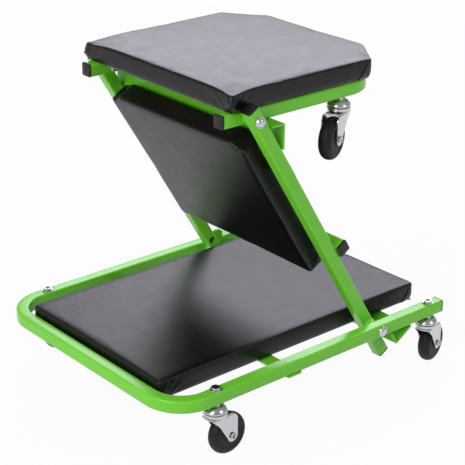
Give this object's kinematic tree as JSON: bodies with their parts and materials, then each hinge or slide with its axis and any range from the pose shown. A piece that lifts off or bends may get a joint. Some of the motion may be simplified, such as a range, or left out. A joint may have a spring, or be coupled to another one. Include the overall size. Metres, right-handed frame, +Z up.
{
  "type": "folding mechanic creeper",
  "caption": "Folding mechanic creeper standing as a rolling stool: green square-tube frames hinged in a Z, black vinyl pads and swivel casters",
  "frame": {"origin": "Middle of the bounding box on the floor that the base wheels stand on", "axes": "+X from the base frame's rounded end to its open end, +Y to the left-hand side, +Z up, in the stool position"},
  "size_m": [0.5644, 0.4479, 0.5191],
  "materials": {
    "green_powder_coat": "gloss lime-green powder coat on steel tube",
    "black_vinyl": "semi-gloss black vinyl over foam",
    "plywood": "bare plywood board",
    "zinc_plated_steel": "bright zinc plate",
    "black_plastic": "moulded black plastic",
    "black_wheel_rubber": "matt black wheel"
  },
  "bodies": {
    "base": {"base_board": "plywood", "base_cushion": "black_vinyl", "base_frame": "green_powder_coat", "base_leg_cap_left": "black_plastic", "base_leg_cap_right": "black_plastic", "base_pad_strip": "green_powder_coat", "base_pad_tab_left": "green_powder_coat", "base_pad_tab_right": "green_powder_coat", "caster_stem_back_left": "zinc_plated_steel", "caster_stem_back_right": "zinc_plated_steel", "caster_stem_front_left": "zinc_plated_steel", "caster_stem_front_right": "zinc_plated_steel", "lower_bolt_left": "zinc_plated_steel", "lower_bolt_right": "zinc_plated_steel", "lower_nut_left": "zinc_plated_steel", "lower_nut_right": "zinc_plated_steel"},
    "mid": {"mid_board": "plywood", "mid_cross_cap_left": "black_plastic", "mid_cross_cap_right": "black_plastic", "mid_cross_tube": "green_powder_coat", "mid_cushion": "black_vinyl", "mid_foot_cap_left": "black_plastic", "mid_foot_cap_right": "black_plastic", "mid_pad_strip": "green_powder_coat", "mid_rail_left": "green_powder_coat", "mid_rail_right": "green_powder_coat", "mid_stop_angle": "green_powder_coat", "mid_top_cap_left": "black_plastic", "mid_top_cap_right": "black_plastic", "upper_bolt_left": "zinc_plated_steel", "upper_bolt_right": "zinc_plated_steel", "upper_nut_left": "zinc_plated_steel", "upper_nut_right": "zinc_plated_steel"},
    "seat": {"caster_stem_seat_left": "zinc_plated_steel", "caster_stem_seat_right": "zinc_plated_steel", "seat_board": "plywood", "seat_cushion": "black_vinyl", "seat_frame": "green_powder_coat", "seat_leg_cap_left": "black_plastic", "seat_leg_cap_right": "black_plastic", "seat_stop_angle": "green_powder_coat"},
    "swivel_front_left": {"caster_axle_front_left": "zinc_plated_steel", "caster_fork_front_left": "zinc_plated_steel"},
    "wheel_front_left": {"caster_wheel_front_left": "black_wheel_rubber"},
    "swivel_front_right": {"caster_axle_front_right": "zinc_plated_steel", "caster_fork_front_right": "zinc_plated_steel"},
    "wheel_front_right": {"caster_wheel_front_right": "black_wheel_rubber"},
    "swivel_back_left": {"caster_axle_back_left": "zinc_plated_steel", "caster_fork_back_left": "zinc_plated_steel"},
    "wheel_back_left": {"caster_wheel_back_left": "black_wheel_rubber"},
    "swivel_back_right": {"caster_axle_back_right": "zinc_plated_steel", "caster_fork_back_right": "zinc_plated_steel"},
    "wheel_back_right": {"caster_wheel_back_right": "black_wheel_rubber"},
    "swivel_seat_left": {"caster_axle_seat_left": "zinc_plated_steel", "caster_fork_seat_left": "zinc_plated_steel"},
    "wheel_seat_left": {"caster_wheel_seat_left": "black_wheel_rubber"},
    "swivel_seat_right": {"caster_axle_seat_right": "zinc_plated_steel", "caster_fork_seat_right": "zinc_plated_steel"},
    "wheel_seat_right": {"caster_wheel_seat_right": "black_wheel_rubber"}
  },
  "joints": [
    {"name": "mid_fold", "type": "hinge", "parent": "base", "child": "mid", "pos_m": [0.12028, 0, 0.0973], "axis": [0, 1, 0], "range_deg": [0, 121.8]},
    {"name": "seat_fold", "type": "hinge", "parent": "mid", "child": "seat", "pos_m": [-0.11195, 0, 0.47185], "axis": [0, 1, 0], "range_deg": [-121.8, 0]},
    {"name": "swivel_front_left", "type": "hinge", "parent": "base", "child": "swivel_front_left", "pos_m": [-0.20102, 0.205, 0.0873], "axis": [0, 0, 1], "continuous": true},
    {"name": "roll_front_left", "type": "hinge", "parent": "swivel_front_left", "child": "wheel_front_left", "pos_m": [-0.17965, 0.20877, 0.0315], "axis": [0.1736, -0.9848, 0], "continuous": true},
    {"name": "swivel_front_right", "type": "hinge", "parent": "base", "child": "swivel_front_right", "pos_m": [-0.20102, -0.205, 0.0873], "axis": [0, 0, 1], "continuous": true},
    {"name": "roll_front_right", "type": "hinge", "parent": "swivel_front_right", "child": "wheel_front_right", "pos_m": [-0.17934, -0.20405, 0.0315], "axis": [0.0436, -0.999, 0], "continuous": true},
    {"name": "swivel_back_left", "type": "hinge", "parent": "base", "child": "swivel_back_left", "pos_m": [0.22998, 0.205, 0.0873], "axis": [0, 0, 1], "continuous": true},
    {"name": "roll_back_left", "type": "hinge", "parent": "swivel_back_left", "child": "wheel_back_left", "pos_m": [0.25067, 0.19848, 0.0315], "axis": [-0.3007, -0.9537, 0], "continuous": true},
    {"name": "swivel_back_right", "type": "hinge", "parent": "base", "child": "swivel_back_right", "pos_m": [0.22998, -0.205, 0.0873], "axis": [0, 0, 1], "continuous": true},
    {"name": "roll_back_right", "type": "hinge", "parent": "swivel_back_right", "child": "wheel_back_right", "pos_m": [0.25067, -0.19848, 0.0315], "axis": [0.3007, -0.9537, 0], "continuous": true},
    {"name": "swivel_seat_left", "type": "hinge", "parent": "seat", "child": "swivel_seat_left", "pos_m": [0.07065, 0.1504, 0.46185], "axis": [0, 0, 1], "continuous": true},
    {"name": "roll_seat_left", "type": "hinge", "parent": "swivel_seat_left", "child": "wheel_seat_left", "pos_m": [0.0506, 0.1587, 0.40605], "axis": [0.3827, 0.9239, 0], "continuous": true},
    {"name": "swivel_seat_right", "type": "hinge", "parent": "seat", "child": "swivel_seat_right", "pos_m": [0.07065, -0.1504, 0.46185], "axis": [0, 0, 1], "continuous": true},
    {"name": "roll_seat_right", "type": "hinge", "parent": "swivel_seat_right", "child": "wheel_seat_right", "pos_m": [0.0506, -0.1587, 0.40605], "axis": [-0.3827, 0.9239, 0], "continuous": true}
  ]
}
